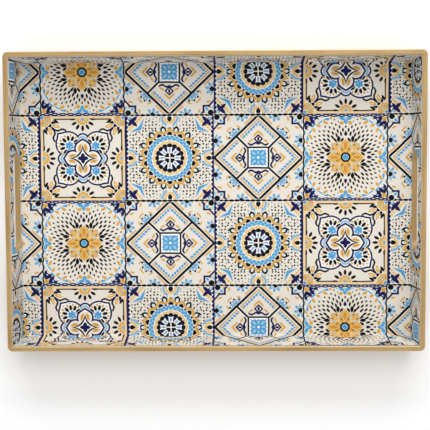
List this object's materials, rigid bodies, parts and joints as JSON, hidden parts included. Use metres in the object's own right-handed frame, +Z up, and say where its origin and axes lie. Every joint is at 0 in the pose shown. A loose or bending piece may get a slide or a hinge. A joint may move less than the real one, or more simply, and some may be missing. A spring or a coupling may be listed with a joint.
{
  "type": "serving tray",
  "caption": "Rectangular serving tray of thin boards with leaning walls, a hand slot in each end wall, a folded sheet of ornamental tile print inside and a gold-painted rim.",
  "frame": {"origin": "centre of the outline at the level the pads stand on", "axes": "+X along the tray's length, from one hand slot to the other; +Y across it, from the front wall to the back wall; +Z up, out of the open side"},
  "size_m": [0.3998, 0.2858, 0.04],
  "materials": {
    "gold_paint": "thin boards painted in satin warm gold",
    "tile_print": "printed ornamental tile pattern under a satin varnish",
    "brad_steel": "bright wire",
    "pad_rubber": "matt"
  },
  "bodies": {
    "root": {"base_board": "gold_paint", "wall_front": "gold_paint", "wall_back": "gold_paint", "wall_left": "gold_paint", "wall_right": "gold_paint", "printed_liner": "tile_print", "brad_front_left_low": "brad_steel", "brad_front_left_high": "brad_steel", "brad_front_right_low": "brad_steel", "brad_front_right_high": "brad_steel", "brad_back_left_low": "brad_steel", "brad_back_left_high": "brad_steel", "brad_back_right_low": "brad_steel", "brad_back_right_high": "brad_steel", "brad_under_front_1": "brad_steel", "brad_under_front_2": "brad_steel", "brad_under_front_3": "brad_steel", "brad_under_front_4": "brad_steel", "brad_under_back_1": "brad_steel", "brad_under_back_2": "brad_steel", "brad_under_back_3": "brad_steel", "brad_under_back_4": "brad_steel", "brad_under_left_1": "brad_steel", "brad_under_left_2": "brad_steel", "brad_under_right_1": "brad_steel", "brad_under_right_2": "brad_steel", "foot_front_left": "pad_rubber", "foot_front_right": "pad_rubber", "foot_back_left": "pad_rubber", "foot_back_right": "pad_rubber"}
  },
  "joints": []
}
